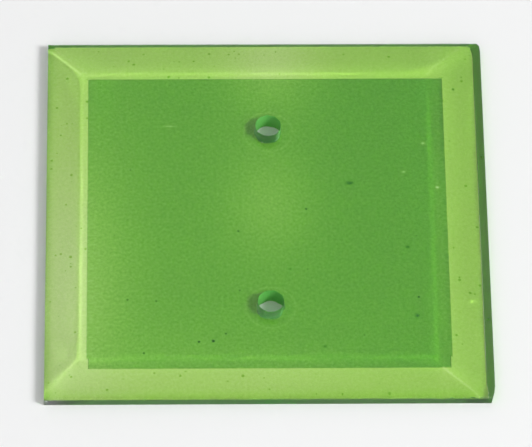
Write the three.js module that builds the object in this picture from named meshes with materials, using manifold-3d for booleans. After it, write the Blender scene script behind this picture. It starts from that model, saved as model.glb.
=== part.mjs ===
// A negative carrier glass: one plate of green glass that lies flat. A broad bevel runs round its
// top, two drilled holes take screws, and a shallow ground panel is sunk in its underside.
// Millimetres, +X right, +Y back, +Z up. The origin is at the middle of the underside.
import * as THREE from 'three';
import { mergeVertices } from 'three/addons/utils/BufferGeometryUtils.js';
import Module from 'manifold-3d';

const plateWide = 108.0; // 4 1/4 in, left to right
const plateDeep = 108.0; // 4 1/4 in, front to back
const plateThick = 4.7; // 3/16 in sheet
const rimTall = 2.1; // upright edge that the bevel leaves
const thinRimTall = 2.0; // where the right bevel would meet the back edge, ground a little lower
const bevelWide = { left: 11.1, right: 10.6, back: 10.5, front: 11.0 };
const undercut = { wide: 2.1, land: 0.3 }; // the right edge leans in towards its foot
const holeRadius = 3.2; // for a 1/4 in screw
const holeFacets = 64;
const holeX = 0.6;
const backHoleY = 26.3;
const frontHoleY = -27.0;
const panelWide = 87.2; // ground panel on the underside
const panelDeep = 87.2;
const panelX = 0.1;
const panelY = -0.7;
const panelSink = 0.05; // how far grinding sinks the panel
const frontCornerCut = { along: 3.7, deep: 0.7 }; // worn flat on the right edge at the front
const backCornerCut = { along: 2.4, deep: 0.8 }; // and at the back

const wasm = await Module();
wasm.setup();

// A closed three.js geometry as a solid that can be cut.
function toSolid(geometry) {
  const bare = geometry.clone();
  bare.deleteAttribute('normal');
  bare.deleteAttribute('uv');
  const merged = mergeVertices(bare, 1e-4);
  return new wasm.Manifold(new wasm.Mesh({
    numProp: 3,
    vertProperties: new Float32Array(merged.attributes.position.array),
    triVerts: new Uint32Array(merged.index.array),
  }));
}

// A solid as a three.js geometry.
function toGeometry(solid) {
  const cut = solid.getMesh();
  const geometry = new THREE.BufferGeometry();
  geometry.setAttribute('position', new THREE.BufferAttribute(cut.vertProperties, 3));
  geometry.setIndex(new THREE.BufferAttribute(cut.triVerts, 1));
  geometry.computeVertexNormals();
  return geometry;
}

// The outline in plan, anticlockwise, with the two right corners worn at a slant.
function makeOutline() {
  const x = plateWide / 2;
  const y = plateDeep / 2;
  const outline = new THREE.Shape();
  outline.moveTo(-x, -y);
  outline.lineTo(x - frontCornerCut.deep, -y);
  outline.lineTo(x, -y + frontCornerCut.along);
  outline.lineTo(x, y - backCornerCut.along);
  outline.lineTo(x - backCornerCut.deep, y);
  outline.lineTo(-x, y);
  outline.closePath();
  return outline;
}

// What grinding takes off along one edge: a big slab on the plane through the edge's ends, at their
// heights, and through a line that lies wide further in at the height top. It stands on the plane,
// or hangs under it where side is -1.
function makeSlab(start, end, inward, wide, heights, top = plateThick, side = 1) {
  const [a, b] = [start, end].map((p, i) => new THREE.Vector3(p[0], p[1], heights[i]));
  const ridge = a.clone().lerp(b, 0.5).setZ(top);
  ridge.addScaledVector(new THREE.Vector3(inward[0], inward[1], 0), wide);
  const along = b.clone().sub(a).normalize();
  const up = along.clone().cross(ridge.clone().sub(a)).normalize();
  up.multiplyScalar(Math.sign(up.z) * side);
  const across = up.clone().cross(along);
  const size = 2 * plateWide;
  const slab = new THREE.BoxGeometry(size, size, size);
  const centre = ridge.clone().addScaledVector(up, size / 2);
  slab.applyMatrix4(new THREE.Matrix4().makeBasis(along, across, up).setPosition(centre));
  return toSolid(slab);
}

// A drill of one hole, longer than the plate is thick.
function makeDrill(y) {
  const drill = new THREE.CylinderGeometry(holeRadius, holeRadius, 4 * plateThick, holeFacets);
  drill.rotateX(Math.PI / 2);
  drill.translate(holeX, y, plateThick / 2);
  return toSolid(drill);
}

// The layer that grinding takes off the underside.
function makePanelCut() {
  const cut = new THREE.BoxGeometry(panelWide, panelDeep, 2 * panelSink);
  cut.translate(panelX, panelY, 0);
  return toSolid(cut);
}

function makePlate() {
  const blank = new THREE.ExtrudeGeometry(makeOutline(), {
    depth: plateThick,
    bevelEnabled: false,
  });
  const x = plateWide / 2;
  const y = plateDeep / 2;
  const even = [rimTall, rimTall];
  const lean = [rimTall - undercut.land, thinRimTall - undercut.land];
  const cuts = [
    makeSlab([-x, -y], [-x, y], [1, 0], bevelWide.left, even),
    makeSlab([x, -y], [x, y], [-1, 0], bevelWide.right, [rimTall, thinRimTall]),
    makeSlab([-x, y], [x, y], [0, -1], bevelWide.back, even),
    makeSlab([-x, -y], [x, -y], [0, 1], bevelWide.front, even),
    makeSlab([x, -y], [x, y], [-1, 0], undercut.wide, lean, 0, -1),
    makeDrill(backHoleY),
    makeDrill(frontHoleY),
    makePanelCut(),
  ];
  return toGeometry(cuts.reduce((solid, cut) => solid.subtract(cut), toSolid(blank)));
}

const greenGlass = new THREE.MeshStandardMaterial({
  color: 0x5cab3c,
  roughness: 0.06,
  metalness: 0.0,
  transparent: true,
  opacity: 0.6,
});

const glassPlate = new THREE.Mesh(makePlate(), greenGlass);
glassPlate.name = 'glass_plate';

const group = new THREE.Group();
group.add(glassPlate);

export default group;
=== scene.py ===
# A negative carrier glass: one bevelled plate of green glass with two drilled holes, lying flat.
import math

import bpy
import numpy as np
from mathutils import Matrix, Vector


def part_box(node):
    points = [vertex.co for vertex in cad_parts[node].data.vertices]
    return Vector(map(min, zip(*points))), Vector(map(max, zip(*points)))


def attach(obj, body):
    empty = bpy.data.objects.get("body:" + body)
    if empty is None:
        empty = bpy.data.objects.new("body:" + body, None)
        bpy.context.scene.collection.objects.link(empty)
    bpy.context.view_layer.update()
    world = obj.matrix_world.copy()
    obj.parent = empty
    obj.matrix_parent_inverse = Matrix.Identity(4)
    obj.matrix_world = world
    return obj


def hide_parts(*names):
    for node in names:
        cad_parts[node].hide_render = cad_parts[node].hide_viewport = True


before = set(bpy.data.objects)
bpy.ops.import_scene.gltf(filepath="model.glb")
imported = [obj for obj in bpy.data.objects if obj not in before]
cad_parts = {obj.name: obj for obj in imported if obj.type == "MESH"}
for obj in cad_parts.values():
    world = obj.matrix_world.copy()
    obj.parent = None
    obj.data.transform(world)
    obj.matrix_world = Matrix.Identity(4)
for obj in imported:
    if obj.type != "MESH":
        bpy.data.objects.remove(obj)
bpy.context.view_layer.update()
mm = 0.001
print("frame loaded")

# The plate, in millimetres. Outlines run anticlockwise from the front left corner, and each of the
# four lists is one side as x, y and height, from one mitre to the next.
plate = {
    "foot": [
        [(-54.0, -54.0, 0.0), (53.1, -54.0, 0.0)],
        [(53.1, -54.0, 0.0), (52.4, -52.0, 0.0), (51.9, -49.0, 0.0), (51.9, 0.0, 0.0), (51.9, 51.0, 0.0),
         (51.5, 53.0, 0.0), (50.9, 53.5, 0.0)],
        [(50.9, 53.5, 0.0), (-54.0, 53.5, 0.0)],
        [(-54.0, 53.5, 0.0), (-54.0, -54.0, 0.0)],
    ],
    "rim": [
        [(-54.0, -54.0, 2.1), (53.3, -54.0, 2.1)],
        [(53.3, -54.0, 2.1), (53.75, -52.3, 2.1), (54.0, -50.3, 2.1), (54.0, 0.0, 2.1),
         (54.0, 51.6, 2.05), (53.8, 53.3, 2.05), (53.2, 54.0, 2.05)],
        [(53.2, 54.0, 2.05), (-54.0, 54.0, 2.1)],
        [(-54.0, 54.0, 2.1), (-54.0, -54.0, 2.1)],
    ],
    "ridge": [(-42.9, -43.0), (43.4, -43.1), (43.6, 43.5), (-42.8, 43.5)],
    "panel": [(-43.5, -44.3), (43.7, -44.3), (43.7, 42.9), (-43.5, 42.9)],
    "panelSink": 0.05,
    "panelWall": 0.08,      # how far the panel's sunk edge slopes in
    "panelRows": (2.0, 0.5),  # how far the next rows lie inside and outside the panel's edge
    "arris": 0.09,          # width of the dulled sharp edges
    "rimRounding": (1.1, 0.3),  # width and fall of the polished-off rim
    "ridgeSoftness": 0.05,  # how far the ridge is rounded by polishing
    "waviness": 0.05,       # hand grinding of the rim
    "wallRoughness": 0.012,  # and of the upright edges
    "crowding": 0.85,       # how much closer the points lie at the corners
    "sideSteps": 170,
    "wallSteps": 6,
    "rimSteps": (9, 0.12),  # rows beside the rim and the share of the bevel that they cover
    "bevelSteps": (14, 1.6),  # rows on the bevel and how they crowd towards the ridge
    "ridgeShares": (0.985, 0.9925, 1.0),  # shares of the bevel where the ridge begins to round
    "flatRows": (0.12, 0.3, 0.7, 2.0),  # distances inside the ridge where the top evens out
    "sharpAngle": 32.0,     # edges that turn more than this many degrees look sharp
    "seed": 7,
}


# Steps along a side, crowded towards both corners: s - c sin(2 pi s) / (2 pi) for s from 0 up to 1.
def crowdedSteps(count, crowding):
    s = np.arange(count) / count
    return s - crowding * np.sin(2 * np.pi * s) / (2 * np.pi)


# Points on a polyline at the given fractions of its length, by straight lines between its points.
def walk(points, fractions):
    points = np.asarray(points, float)
    lengths = np.linalg.norm(np.diff(points[:, :2], axis=0), axis=1)
    along = np.concatenate([[0], np.cumsum(lengths)]) / lengths.sum()
    return np.stack([np.interp(fractions, along, column) for column in points.T], axis=1)


# One closed ring of points: the four sides end to end, each without its last corner.
def ringFromSides(sides, steps):
    return np.concatenate([walk(side, steps) for side in sides])


# One closed ring at one height: straight sides from each of the four corners to the next.
def ringFromCorners(corners, height, steps):
    raised = [(x, y, height) for x, y in corners]
    return ringFromSides([[raised[i], raised[(i + 1) % 4]] for i in range(4)], steps)


# A smooth closed wave round the ring, between about -1 and 1: sines of 3 up to 60 turns with random
# phases, each as strong as one over the square root of its turns.
def ringWave(count, rng):
    turns = np.arange(3, 61)
    phases = rng.uniform(0, 2 * np.pi, len(turns))
    u = np.arange(count)[:, None] / count
    wave = (np.sin(2 * np.pi * u * turns + phases) / np.sqrt(turns)).sum(axis=1)
    return wave / np.abs(wave).max()


# The ring drawn in by a distance, one value or one per point: each point's offset from the ring's
# middle is scaled by 1 - distance / half size, along X and Y.
def inset(ring, distance):
    low, high = ring[:, :2].min(axis=0), ring[:, :2].max(axis=0)
    middle, half = (low + high) / 2, (high - low) / 2
    kept = 1 - np.broadcast_to(distance, len(ring))[:, None] / half
    moved = ring.copy()
    moved[:, :2] = middle + (ring[:, :2] - middle) * kept
    return moved


# Where the bevel's rows lie, as shares of its width: 1 - (1 - s)^crowding for even s. Finer even
# steps take the place of the first two, and the given shares that of the last one, at the ridge.
def bevelShares(v):
    rimCount, rimShare = v["rimSteps"]
    count, crowding = v["bevelSteps"]
    shares = 1 - (1 - np.linspace(0, 1, count)) ** crowding
    return np.concatenate([np.linspace(0, rimShare, rimCount), shares[2:-1], v["ridgeShares"]])


# All rings of the plate from the middle of the underside, out, up the rim, over the bevels and the
# ridge to the flat top. Bevel height is the top less slope times softness times
# ln(1 + e^(distance to the ridge / softness)), less the rim's fall times
# (1 - distance from the rim / rounding width) squared.
def makePlateRings(v, top):
    rng = np.random.default_rng(v["seed"])
    steps = crowdedSteps(v["sideSteps"], v["crowding"])
    foot = ringFromSides(v["foot"], steps)
    rim = ringFromSides(v["rim"], steps)
    rim[:, 2] += v["waviness"] * ringWave(len(rim), rng)
    ridge = ringFromCorners(v["ridge"], top, steps)

    panel = ringFromCorners(v["panel"], 0.0, steps)
    sunk = inset(panel, v["panelWall"])
    sunk[:, 2] = v["panelSink"]
    rowInside, rowOutside = v["panelRows"]
    rings = [inset(sunk, rowInside), sunk, panel, inset(panel, -rowOutside), inset(foot, v["arris"])]

    raised, lip = foot.copy(), rim.copy()
    raised[:, 2] = v["arris"]
    lip[:, 2] -= v["arris"]
    ground = v["wallRoughness"] * rng.uniform(0, 1, (len(foot), v["wallSteps"]))
    for i, part in enumerate(np.linspace(0, 1, v["wallSteps"])):
        rings.append(inset(raised + (lip - raised) * part, ground[:, i]))

    start = inset(rim, v["arris"])
    softness = v["ridgeSoftness"]
    roundWide, roundFall = v["rimRounding"]
    reach = np.linalg.norm((ridge - start)[:, :2], axis=1)
    slope = (top - rim[:, 2] - roundFall) / reach
    for part in bevelShares(v):
        ring = start + (ridge - start) * part
        away = reach * (1 - part) / softness
        worn = roundFall * np.clip(1 - reach * part / roundWide, 0, None) ** 2
        ring[:, 2] = top - slope * softness * np.logaddexp(0, away) - worn
        rings.append(ring)
    for away in v["flatRows"]:
        ring = inset(ridge, away)
        ring[:, 2] = top - slope * softness * np.logaddexp(0, -away / softness)
        rings.append(ring)
    rings[-1][:, 2] = top
    return rings


# A mesh object from vertices in millimetres, which become metres, and faces.
def makeObject(name, vertices, faces):
    mesh = bpy.data.meshes.new(name)
    mesh.from_pydata((np.asarray(vertices) * mm).tolist(), [], faces)
    mesh.update()
    made = bpy.data.objects.new(name, mesh)
    bpy.context.scene.collection.objects.link(made)
    return made


# A closed skin over rings of equal length: a quad from each point to the next one and to the same two
# on the next ring, and one flat face at each end. The first face looks down, so it runs backwards.
def skinRings(name, rings):
    count = len(rings[0])
    here = np.arange(count)
    after = (here + 1) % count
    first = np.arange(len(rings) - 1)[:, None] * count
    second = first + count
    quads = np.stack([first + here, first + after, second + after, second + here], axis=-1)
    faces = quads.reshape(-1, 4).tolist()
    faces.append(here[::-1].tolist())
    faces.append((here + (len(rings) - 1) * count).tolist())
    return makeObject(name, np.concatenate(rings), faces)


# The holes, in millimetres, with the back one first. Each chip is an angle in degrees from +X, a half
# width in degrees and a depth.
holes = {
    "radius": 3.12,
    "places": [(0.6, 26.3), (0.6, -27.0)],
    "topChips": [
        [(60, 12, 0.12), (95, 10, 0.16), (128, 10, 0.14), (150, 8, 0.12), (215, 9, 0.10),
         (300, 12, 0.10), (20, 10, 0.10)],
        [(75, 12, 0.15), (110, 10, 0.12), (150, 12, 0.14), (200, 10, 0.10), (255, 9, 0.10),
         (340, 12, 0.12), (30, 9, 0.14)],
    ],
    "footChips": [
        [(40, 40, 0.3), (110, 36, 0.25), (175, 44, 0.4), (240, 40, 0.5), (300, 40, 0.4)],
        [(20, 38, 0.4), (90, 40, 0.3), (160, 40, 0.4), (225, 42, 0.6), (290, 44, 0.45)],
    ],
    "chipHeights": (0.6, 1.4),  # how far the chips reach below the top and above the foot
    "chipCurve": 1.7,
    "leastChip": 0.03,
    "roughness": 0.015,
    "topRows": (0.0, 0.06, 0.14, 0.25, 0.4, 0.6),  # depths below the top
    "footRows": (0.0, 0.1, 0.25, 0.45, 0.7, 1.0, 1.4, 2.2, 3.2),  # heights above the foot
    "overshoot": 1.0,  # how far the drill runs past both faces
    "angleSteps": 144,
    "seeds": [6, 5],
}


# How far chips widen a hole at each angle: the largest of the least chip and of each chip's depth
# times (1 - (angle from its middle / half width) squared).
def chipReach(angles, chips, least):
    reach = np.full(len(angles), least)
    for middle, half, depth in chips:
        off = (angles - middle + 180) % 360 - 180
        reach = np.maximum(reach, depth * np.clip(1 - (off / half) ** 2, 0, None))
    return reach


# A drill for one hole, as round rings stacked upwards. Its radius grows towards each face by the
# chips' reach times (1 - distance from the face / chip height)^curve, plus a little random roughness.
def makeDrill(v, index, top):
    middleX, middleY = v["places"][index]
    angles = np.arange(v["angleSteps"]) * 360 / v["angleSteps"]
    turn = np.radians(angles)
    rng = np.random.default_rng(v["seeds"][index])
    upper = chipReach(angles, v["topChips"][index], v["leastChip"])
    lower = chipReach(angles, v["footChips"][index], v["leastChip"])
    ends = [-v["overshoot"], top + v["overshoot"]]
    levels = np.unique(np.concatenate([ends, v["footRows"], top - np.array(v["topRows"])]))
    topHeight, footHeight = v["chipHeights"]
    rings = []
    for z in levels:
        nearTop = np.clip(1 - (top - z) / topHeight, 0, 1) ** v["chipCurve"]
        nearFoot = np.clip(1 - z / footHeight, 0, 1) ** v["chipCurve"]
        rough = v["roughness"] * rng.standard_normal(len(angles))
        radius = v["radius"] + upper * nearTop + lower * nearFoot + rough
        x, y = middleX + radius * np.cos(turn), middleY + radius * np.sin(turn)
        rings.append(np.stack([x, y, np.full(len(angles), z)], axis=1))
    return skinRings("drill", rings)


# Chips out of the outer edges and the ridge: x, y, height and the three half sizes of each, in mm.
nicks = {
    "chips": [
        (43.6, -54.05, 2.1, 0.7, 0.35, 0.3),
        (46.4, -54.05, 2.12, 0.4, 0.3, 0.25),
        (48.6, -54.1, 2.12, 0.8, 0.45, 0.35),
        (50.6, -54.05, 2.15, 0.5, 0.3, 0.25),
        (-24.4, -43.1, 4.86, 0.55, 0.3, 0.3),
        (31.0, 54.1, 2.1, 0.6, 0.4, 0.3),
        (-12.0, 54.1, 2.1, 0.5, 0.35, 0.3),
        (53.1, 18.0, 2.35, 0.45, 0.7, 0.35),
        (53.0, -31.0, 2.35, 0.4, 0.55, 0.3),
        (-54.1, -20.0, 2.1, 0.4, 0.6, 0.3),
        (-54.1, 33.0, 2.1, 0.35, 0.5, 0.3),
        (-30.0, -54.1, 2.1, 0.5, 0.35, 0.25),
    ],
    "turns": 16,
    "rings": 8,
}


# Ellipsoids joined in one mesh: each is its half sizes times (cos tilt cos turn, cos tilt sin turn,
# sin tilt), in rings between two poles.
def makeNickCutters(name, v):
    n, rings = v["turns"], v["rings"]
    turn = np.arange(n) * 2 * np.pi / n
    tilt = np.linspace(-np.pi / 2, np.pi / 2, rings + 2)[1:-1]
    ring = np.stack([
        np.cos(tilt)[:, None] * np.cos(turn),
        np.cos(tilt)[:, None] * np.sin(turn),
        np.sin(tilt)[:, None] + 0 * turn,
    ], axis=-1).reshape(-1, 3)
    unit = np.concatenate([[(0, 0, -1)], ring, [(0, 0, 1)]])
    lastRing, topPole = 1 + (rings - 1) * n, len(unit) - 1
    faces = []
    for i in range(n):
        j = (i + 1) % n
        faces.append((0, 1 + j, 1 + i))
        faces.append((topPole, lastRing + i, lastRing + j))
        faces += [
            (1 + r * n + i, 1 + r * n + j, 1 + (r + 1) * n + j, 1 + (r + 1) * n + i)
            for r in range(rings - 1)
        ]
    vertices, joined = [], []
    for x, y, z, *half in v["chips"]:
        joined += [tuple(k + len(vertices) * len(unit) for k in face) for face in faces]
        vertices.append(unit * half + (x, y, z))
    return makeObject(name, np.concatenate(vertices), joined)


# Cuts each cutter out of a body, keeps the result as the body's plain mesh and removes the cutters.
def cutAway(body, cutters):
    for cutter in cutters:
        cut = body.modifiers.new("cut", "BOOLEAN")
        cut.operation = "DIFFERENCE"
        cut.solver = "EXACT"
        cut.object = cutter
    graph = bpy.context.evaluated_depsgraph_get()
    result = bpy.data.meshes.new_from_object(body.evaluated_get(graph), depsgraph=graph)
    body.modifiers.clear()
    body.data = result
    for cutter in cutters:
        bpy.data.objects.remove(cutter)


# The plate's skin as high as its node, less the two drills and the nicks.
def makeGlassPlate():
    _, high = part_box("glass_plate")
    top = high[2] / mm
    body = skinRings("bevelled_glass", makePlateRings(plate, top))
    drills = [makeDrill(holes, index, top) for index in range(len(holes["places"]))]
    cutAway(body, [*drills, makeNickCutters("nick_cutters", nicks)])
    body.data.shade_smooth()
    body.data.set_sharp_from_angle(angle=math.radians(plate["sharpAngle"]))
    return body


glassPlate = makeGlassPlate()
print("plate made", len(glassPlate.data.polygons), "faces")


# A short way to add nodes to a tree and to wire arithmetic.
class NodeDesk:
    def __init__(self, tree):
        self.tree = tree

    # A node with some of its inputs given, each as a value or as another node's output.
    def add(self, kind, inputs=None):
        node = self.tree.nodes.new(kind)
        for name, value in (inputs or {}).items():
            self.feed(node.inputs[name], value)
        return node

    # Links the socket to another node's output, or gives it a plain value.
    def feed(self, socket, value):
        if isinstance(value, bpy.types.NodeSocket):
            self.tree.links.new(value, socket)
        else:
            socket.default_value = value

    # The operation on one or two numbers.
    def math(self, operation, *values):
        node = self.tree.nodes.new("ShaderNodeMath")
        node.operation = operation
        for socket, value in zip(node.inputs, values):
            self.feed(socket, value)
        return node.outputs[0]

    # Colour a, turning to b as the factor goes from 0 to 1.
    def mixColour(self, factor, a, b):
        node = self.tree.nodes.new("ShaderNodeMix")
        node.data_type = "RGBA"
        for name, value in (("Factor", factor), ("A", a), ("B", b)):
            self.feed(node.inputs[name], value)
        return node.outputs["Result"]

    # 1 below the edge and 0 above it, falling over the given softness.
    def below(self, value, edge, softness):
        lowEnd, highEnd = edge - softness / 2, edge + softness / 2
        ends = {"Value": value, "From Min": lowEnd, "From Max": highEnd, "To Min": 1.0, "To Max": 0.0}
        return self.add("ShaderNodeMapRange", ends).outputs["Result"]

    # A bell curve of the distance: e^-(distance / width)^2.
    def bell(self, distance, width):
        squared = self.math("POWER", self.math("DIVIDE", distance, width), 2.0)
        return self.math("EXPONENT", self.math("MULTIPLY", squared, -1.0))


# A material with an empty node tree, and a desk for it.
def newMaterial(name):
    material = bpy.data.materials.new(name)
    material.use_nodes = True
    material.node_tree.nodes.clear()
    return material, NodeDesk(material.node_tree)


# The place on the plate in millimetres: object coordinates divided by a millimetre.
def placeInMm(desk):
    scale = desk.tree.nodes.new("ShaderNodeVectorMath")
    scale.operation = "SCALE"
    desk.feed(scale.inputs[0], desk.add("ShaderNodeTexCoord").outputs["Object"])
    scale.inputs["Scale"].default_value = 1 / mm
    return scale.outputs[0]


# A soft round cloud as a node group: strength times e^-((dx / radius x)^2 + (dy / radius y)^2).
def makeCloudGroup():
    tree = bpy.data.node_groups.new("soft_cloud", "ShaderNodeTree")
    for name in ("X", "Y", "Middle X", "Middle Y", "Radius X", "Radius Y", "Strength"):
        tree.interface.new_socket(name, in_out="INPUT", socket_type="NodeSocketFloat")
    tree.interface.new_socket("Density", in_out="OUTPUT", socket_type="NodeSocketFloat")
    desk = NodeDesk(tree)
    given = desk.add("NodeGroupInput").outputs
    squares = []
    for axis in ("X", "Y"):
        off = desk.math("SUBTRACT", given[axis], given["Middle " + axis])
        squares.append(desk.math("POWER", desk.math("DIVIDE", off, given["Radius " + axis]), 2.0))
    fall = desk.math("MULTIPLY", desk.math("ADD", *squares), -1.0)
    density = desk.math("MULTIPLY", desk.math("EXPONENT", fall), given["Strength"])
    desk.add("NodeGroupOutput", {"Density": density})
    return tree


cloudGroup = makeCloudGroup()


# The density with all the clouds added to it.
def addClouds(desk, density, x, y, clouds):
    for cloud in clouds:
        node = desk.add("ShaderNodeGroup")
        node.node_tree = cloudGroup
        for socket, value in zip(node.inputs, (x, y, *cloud)):
            desk.feed(socket, value)
        density = desk.math("ADD", density, node.outputs["Density"])
    return density


# The green lies in a film on the underside. Its density is the first value here, plus a lean for every
# mm towards +X and +Y, plus clouds: x, y, the two radii in mm and the strength of each, where a minus
# is a lighter place: a thinner film, except where a cloud is marked below as painted light or shade.
glass = {
    "borderTint": (0.39, 0.70, 0.108),
    "panelTint": (0.29, 0.585, 0.135),
    "density": 1.04,
    "lean": (0.0022, 0.0012),
    "clouds": [
        # painted reflection: the next three clouds lighten the film where the room's light shows in the
        # top, at the back, in the middle and along the left
        (2.0, 50.0, 12.0, 18.0, -0.36),
        (1.0, 5.0, 11.0, 17.0, -0.25),
        (-48.0, -18.0, 14.0, 44.0, -0.32),
        # painted light: a narrow lighter band along the right bevel, where the bevel bends the key light
        # onto the table
        (42.4, 0.0, 1.8, 60.0, -0.14),
        (3.0, -46.0, 15.0, 9.0, -0.10),
        (-20.0, -40.0, 12.0, 8.0, -0.05),
        # painted shade: the next three long clouds darken the film along the front and left walls, where
        # the walls shade the table, and along the back, where the back wall shows dark inside the glass
        (0.0, -54.0, 500.0, 2.6, 0.45),
        (-54.0, 0.0, 1.2, 500.0, 0.50),
        (0.0, 54.0, 500.0, 1.0, 0.25),
        (-23.8, 28.2, 1.3, 0.22, -0.55),
        (38.8, 22.7, 0.5, 0.38, -0.85),
        (33.8, 13.9, 0.45, 0.3, -0.75),
        (42.0, 9.1, 0.5, 0.38, -0.75),
        (20.5, 10.5, 0.75, 0.45, 1.1),
        (34.2, -9.0, 0.45, 0.4, 0.9),
        (36.0, -29.5, 0.5, 0.5, 1.0),
        (5.4, -15.5, 0.35, 0.3, 0.6),
        (13.5, -38.5, 0.4, 0.35, 0.7),
    ],
    # fine lines: from x, y to x, y, half width and strength. The four lighter ones are painted light
    # along the corner mitres, where the mitres bend light onto the table; the last is a darker line
    # along the left bevel.
    "streaks": [
        (-45.3, 44.7, -54.0, 53.4, 0.30, -0.24),
        (-43.9, 44.9, -52.6, 53.8, 0.25, -0.14),
        (41.6, -44.1, 50.8, -52.8, 0.30, -0.36),
        (40.4, 44.3, 49.1, 53.2, 0.30, -0.18),
        (-45.6, -44.0, -45.6, 44.0, 0.50, 0.14),
    ],
    "streakEnd": 0.3,
    "mottle": (1.3, 4.0, 0.7, 0.45),  # grains per mm, levels of detail, their roughness and strength
    # cells per mm, share of empty cells, size in cells and strength: everywhere, and off the panel
    "specks": (0.30, 0.78, 0.12, 1.8),
    "borderSpecks": (0.80, 0.86, 0.34, 1.1),
    "washerMark": (6.0, 0.3, -0.12),  # radius and half width in mm, and strength
    "filmTop": (0.075, 0.01),    # height in mm where the film ends, and how softly
    "panelEdge": 0.15,           # softness of the panel's outline in mm
    "ior": 1.52,
}


# 1 inside the ground panel's square on the underside and 0 elsewhere.
def panelMask(desk, x, y, underside):
    (x0, y0), _, (x1, y1), _ = plate["panel"]
    mask = underside
    for place, low, high in ((x, x0, x1), (y, y0, y1)):
        off = desk.math("ABSOLUTE", desk.math("SUBTRACT", place, (low + high) / 2))
        mask = desk.math("MULTIPLY", mask, desk.below(off, (high - low) / 2, glass["panelEdge"]))
    return mask


# A fine line: strength times e^-(distance from the line / half width)^2, between its two ends.
def makeStreak(desk, x, y, streak):
    fromX, fromY, toX, toY, halfWidth, strength = streak
    length = math.hypot(toX - fromX, toY - fromY)
    aheadX, aheadY = (toX - fromX) / length, (toY - fromY) / length
    east, north = desk.math("SUBTRACT", x, fromX), desk.math("SUBTRACT", y, fromY)
    eastAhead, northAhead = desk.math("MULTIPLY", east, aheadX), desk.math("MULTIPLY", north, aheadY)
    eastAside, northAside = desk.math("MULTIPLY", east, aheadY), desk.math("MULTIPLY", north, aheadX)
    line = desk.bell(desk.math("SUBTRACT", northAside, eastAside), halfWidth)
    offMiddle = desk.math("SUBTRACT", desk.math("ADD", eastAhead, northAhead), length / 2)
    ends = desk.below(desk.math("ABSOLUTE", offMiddle), length / 2, glass["streakEnd"])
    return desk.math("MULTIPLY", desk.math("MULTIPLY", line, ends), strength)


# A ring round a hole: strength times e^-((distance - radius) / half width)^2.
def makeWasherMark(desk, x, y, place, mark):
    radius, half, strength = mark
    acrossX = desk.math("POWER", desk.math("SUBTRACT", x, place[0]), 2.0)
    acrossY = desk.math("POWER", desk.math("SUBTRACT", y, place[1]), 2.0)
    distance = desk.math("SQRT", desk.math("ADD", acrossX, acrossY))
    return desk.math("MULTIPLY", desk.bell(desk.math("SUBTRACT", distance, radius), half), strength)


# Small dark specks of many sizes: in each cell of a random pattern whose first random number is above
# the empty share, the strength within size times the second random number of the cell's middle.
def makeSpecks(desk, inMm, specks):
    cells, empty, size, strength = specks
    pattern = desk.add("ShaderNodeTexVoronoi", {"Vector": inMm, "Scale": cells}).outputs
    first, second, _ = desk.add("ShaderNodeSeparateColor", {"Color": pattern["Color"]}).outputs
    filled = desk.math("GREATER_THAN", first, empty)
    inside = desk.math("LESS_THAN", pattern["Distance"], desk.math("MULTIPLY", second, size))
    return desk.math("MULTIPLY", desk.math("MULTIPLY", filled, inside), strength)


# Clear glass with a green film under it. The film's colour is its tint^density. The tint is the
# border's, and on the ground panel the border's times the panel's.
def makeGlassMaterial(v):
    material, desk = newMaterial("green_glass")
    inMm = placeInMm(desk)
    x, y, z = desk.add("ShaderNodeSeparateXYZ", {"Vector": inMm}).outputs
    underside = desk.below(z, *v["filmTop"])
    panel = panelMask(desk, x, y, underside)

    grains, detail, roughness, strength = v["mottle"]
    grain = {"Vector": inMm, "Scale": grains, "Detail": detail, "Roughness": roughness}
    noise = desk.add("ShaderNodeTexNoise", grain).outputs["Fac"]
    density = desk.math("MULTIPLY", desk.math("SUBTRACT", noise, 0.5), 2 * strength)
    border = desk.math("SUBTRACT", 1.0, panel)
    parts = [
        v["density"],
        desk.math("MULTIPLY", x, v["lean"][0]),
        desk.math("MULTIPLY", y, v["lean"][1]),
        makeSpecks(desk, inMm, v["specks"]),
        desk.math("MULTIPLY", makeSpecks(desk, inMm, v["borderSpecks"]), border),
        *[makeStreak(desk, x, y, streak) for streak in v["streaks"]],
        *[makeWasherMark(desk, x, y, place, v["washerMark"]) for place in holes["places"]],
    ]
    for part in parts:
        density = desk.math("ADD", density, part)
    density = addClouds(desk, density, x, y, v["clouds"])

    bothTints = tuple(a * b for a, b in zip(v["borderTint"], v["panelTint"]))
    tint = desk.mixColour(panel, (*v["borderTint"], 1.0), (*bothTints, 1.0))
    film = desk.add("ShaderNodeGamma", {"Color": tint, "Gamma": density}).outputs[0]
    white = (1.0, 1.0, 1.0, 1.0)
    surface = desk.add("ShaderNodeBsdfPrincipled", {
        "Base Color": desk.mixColour(underside, white, film),
        "IOR": v["ior"],
        "Transmission Weight": 1.0,
        "Roughness": 0.0,
    })
    desk.add("ShaderNodeOutputMaterial", {"Surface": surface.outputs[0]})
    return material


# The outer edges are ground and let light through unevenly. Clouds here are broad deeper and, with a
# minus, paler places: x, y, the two radii in mm and the strength of each.
groundGlass = {
    "tint": (0.10, 0.44, 0.06),
    "clouds": [(-54.0, 0.0, 6.0, 500.0, -0.8), (0.0, -54.0, 500.0, 3.0, -0.35)],
    "gloss": (0.50, 0.80, 0.45),
    "clear": 0.92,
    "roughness": 0.40,
}

# The drilled hole walls: misty and mostly milky green. The two clouds paint them deeper on the front
# side of each hole, as painted shade.
drilledGlass = {
    "tint": (0.13, 0.48, 0.09),
    "clouds": [(0.6, 22.6, 5.0, 2.6, 0.8), (0.6, -30.7, 5.0, 2.6, 0.7)],
    "gloss": (0.01, 0.30, 0.06),
    "clear": 0.12,
    "roughness": 0.55,
}

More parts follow.
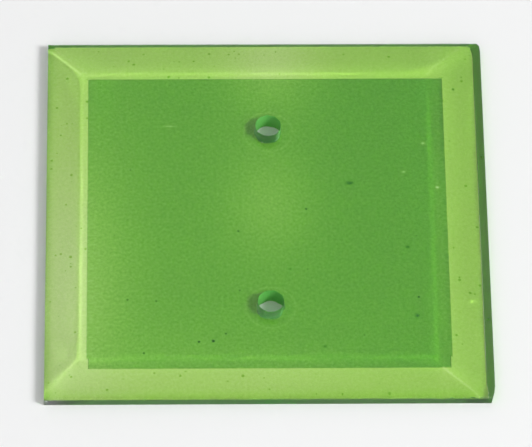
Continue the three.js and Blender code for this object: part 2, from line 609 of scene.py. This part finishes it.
# The edge faces that lean in over the table: misty and deep green. Their mostly matte deep green is
# painted shade for the dark band under the overhang, and the cloud paints it deeper along the back.
leaningGlassPaintedShade = {
    "tint": (0.17, 0.52, 0.03),
    "clouds": [(0.0, 54.0, 500.0, 2.0, 0.3)],
    "gloss": (0.06, 0.25, 0.02),
    "clear": 0.15,
    "roughness": 0.50,
}


# Rough glass, part clear and part milky, in its tint^density, where the density is 1 plus the clouds.
def makeGroundMaterial(name, v):
    material, desk = newMaterial(name)
    x, y, _ = desk.add("ShaderNodeSeparateXYZ", {"Vector": placeInMm(desk)}).outputs
    density = addClouds(desk, 1.0, x, y, v["clouds"])
    tint = desk.add("ShaderNodeGamma", {"Color": (*v["tint"], 1.0), "Gamma": density}).outputs[0]
    surface = desk.add("ShaderNodeBsdfPrincipled", {
        "Base Color": tint,
        "IOR": glass["ior"],
        "Transmission Weight": v["clear"],
        "Roughness": v["roughness"],
        "Specular Tint": (*v["gloss"], 1.0),
    })
    desk.add("ShaderNodeOutputMaterial", {"Surface": surface.outputs[0]})
    return material


# Which faces are rough. "steep" and "leaning" are upright shares of a face's normal, and the other
# two are in millimetres.
roughFaces = {
    "steep": 0.6,       # faces with a smaller share, up or down, are ground or drilled
    "leaning": -0.15,   # outer faces with a share below this lean in
    "outer": 40.0,      # outer faces lie further than this from the middle, along X or Y
    "aboveFoot": 0.08,  # leaning faces lie higher than this
}


# Gives the first material to smooth faces, the second to steep outer faces, the third to steep faces
# inside, which are the hole walls, and the fourth to outer faces that lean in.
def markRoughFaces(mesh, v):
    normals = np.zeros(len(mesh.polygons) * 3)
    centres = np.zeros(len(mesh.polygons) * 3)
    mesh.polygons.foreach_get("normal", normals)
    mesh.polygons.foreach_get("center", centres)
    upright = normals[2::3]
    x, y, z = centres.reshape(-1, 3).T / mm
    outer = np.maximum(np.abs(x), np.abs(y)) > v["outer"]
    steep = np.abs(upright) < v["steep"]
    leaning = outer & (upright < v["leaning"]) & (z > v["aboveFoot"])
    kinds = np.select([leaning, outer & steep, steep], [3, 1, 2], 0)
    mesh.polygons.foreach_set("material_index", kinds.astype(np.int32))


glassPlate.data.materials.clear()
glassPlate.data.materials.append(makeGlassMaterial(glass))
glassPlate.data.materials.append(makeGroundMaterial("ground_glass", groundGlass))
glassPlate.data.materials.append(makeGroundMaterial("drilled_glass", drilledGlass))
glassPlate.data.materials.append(makeGroundMaterial("leaning_glass_painted_shade", leaningGlassPaintedShade))
markRoughFaces(glassPlate.data, roughFaces)
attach(glassPlate, "root")
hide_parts("glass_plate")
print("glass made")

# The pale table, in millimetres.
table = {
    "colour": (0.88, 0.885, 0.885),
    "roughness": 0.9,
    "gap": 0.02,  # below the plate
    "halfSize": 1500.0,
}


# A matte square, its half size to each side of the middle, just below the plate.
def makeFloor(v):
    half, z = v["halfSize"], -v["gap"]
    corners = [(-half, -half, z), (half, -half, z), (half, half, z), (-half, half, z)]
    floor = makeObject("floor", corners, [(0, 1, 2, 3)])
    material, desk = newMaterial("pale_table")
    finish = {"Base Color": (*v["colour"], 1.0), "Roughness": v["roughness"]}
    matte = desk.add("ShaderNodeBsdfPrincipled", finish)
    desk.add("ShaderNodeOutputMaterial", {"Surface": matte.outputs[0]})
    floor.data.materials.append(material)


# An even white room.
sky = {"colour": (1.0, 1.0, 1.0), "strength": 0.50}


# The same colour and strength from every direction.
def makeSky(v):
    world = bpy.data.worlds.new("soft_room")
    world.use_nodes = True
    background = world.node_tree.nodes["Background"]
    background.inputs["Color"].default_value = (*v["colour"], 1.0)
    background.inputs["Strength"].default_value = v["strength"]
    bpy.context.scene.world = world


# The lamps. Angles are in degrees: the compass runs anticlockwise from +X, the height is above the
# table, and the spread is how wide the lamp looks from the plate. Distance is in metres, power in watts.
lamps = {
    "key": {"compass": -27.0, "height": 36.0, "spread": 19.0, "distance": 3.0, "power": 70.5},
    "front_fill": {"compass": -92.0, "height": 32.0, "spread": 50.0, "distance": 3.0, "power": 14.0},
}


# A round soft light aimed at the plate from (cos compass cos height, sin compass cos height,
# sin height) times its distance, and twice distance times tan(spread / 2) across.
def makeSoftLight(name, v):
    compass, height, halfSpread = math.radians(v["compass"]), math.radians(v["height"]), v["spread"] / 2
    level = math.cos(height)
    towards = Vector((math.cos(compass) * level, math.sin(compass) * level, math.sin(height)))
    lamp = bpy.data.lights.new(name, "AREA")
    lamp.shape = "DISK"
    lamp.size = 2 * v["distance"] * math.tan(math.radians(halfSpread))
    lamp.energy = v["power"]
    made = bpy.data.objects.new(name, lamp)
    turn = towards.to_track_quat("Z", "Y").to_matrix().to_4x4()
    made.matrix_world = Matrix.Translation(towards * v["distance"]) @ turn
    bpy.context.scene.collection.objects.link(made)


# A long lens looks down at the plate, in degrees, metres and, for the lens and sensor, millimetres.
# Azimuth 0 looks along +Y, and roll turns the frame.
camera = {
    "azimuth": 1.642,
    "elevation": 53.60,
    "roll": -1.103,
    "distance": 1.3809,
    "lens": 381.60,
    "sensorWidth": 36.0,
    "target": (-0.00021, -0.00026, 0.0),
}


# The camera stands its distance back from the target along
# (sin azimuth cos elevation, cos azimuth cos elevation, -sin elevation).
def makeCamera(v):
    azimuth, elevation, roll = (math.radians(v[k]) for k in ("azimuth", "elevation", "roll"))
    level = math.cos(elevation)
    ahead = Vector((math.sin(azimuth) * level, math.cos(azimuth) * level, -math.sin(elevation)))
    side = Vector((math.cos(azimuth), -math.sin(azimuth), 0))
    up = side.cross(ahead)
    turnedSide = side * math.cos(roll) - up * math.sin(roll)
    turnedUp = side * math.sin(roll) + up * math.cos(roll)
    lens = bpy.data.cameras.new("camera")
    lens.sensor_width = v["sensorWidth"]
    lens.lens = v["lens"]
    made = bpy.data.objects.new("camera", lens)
    turn = Matrix((turnedSide, turnedUp, -ahead)).transposed().to_4x4()
    made.matrix_world = Matrix.Translation(Vector(v["target"]) - ahead * v["distance"]) @ turn
    bpy.context.scene.collection.objects.link(made)
    bpy.context.scene.camera = made


# Enough bounces for light to pass through the glass, off the table and back, and guiding towards the
# light that the bevels bend.
lightPaths = {
    "bounces": 24,
    "throughGlass": 20,
    "glossy": 10,
    "matte": 8,
    "guiding": 0.7,  # share of the paths that are guided
}


# Every bend and mirror of light is kept at full strength, and colours are shown as they are.
def setLightPaths(v):
    cycles = bpy.context.scene.cycles
    cycles.max_bounces = v["bounces"]
    cycles.transmission_bounces = v["throughGlass"]
    cycles.glossy_bounces = v["glossy"]
    cycles.diffuse_bounces = v["matte"]
    cycles.caustics_refractive = True
    cycles.caustics_reflective = True
    cycles.blur_glossy = 0.0
    cycles.sample_clamp_indirect = 0.0
    cycles.use_guiding = True
    cycles.surface_guiding_probability = v["guiding"]
    bpy.context.scene.view_settings.view_transform = "Standard"


makeFloor(table)
makeSky(sky)
for name, lamp in lamps.items():
    makeSoftLight(name, lamp)
makeCamera(camera)
setLightPaths(lightPaths)
print("studio made")
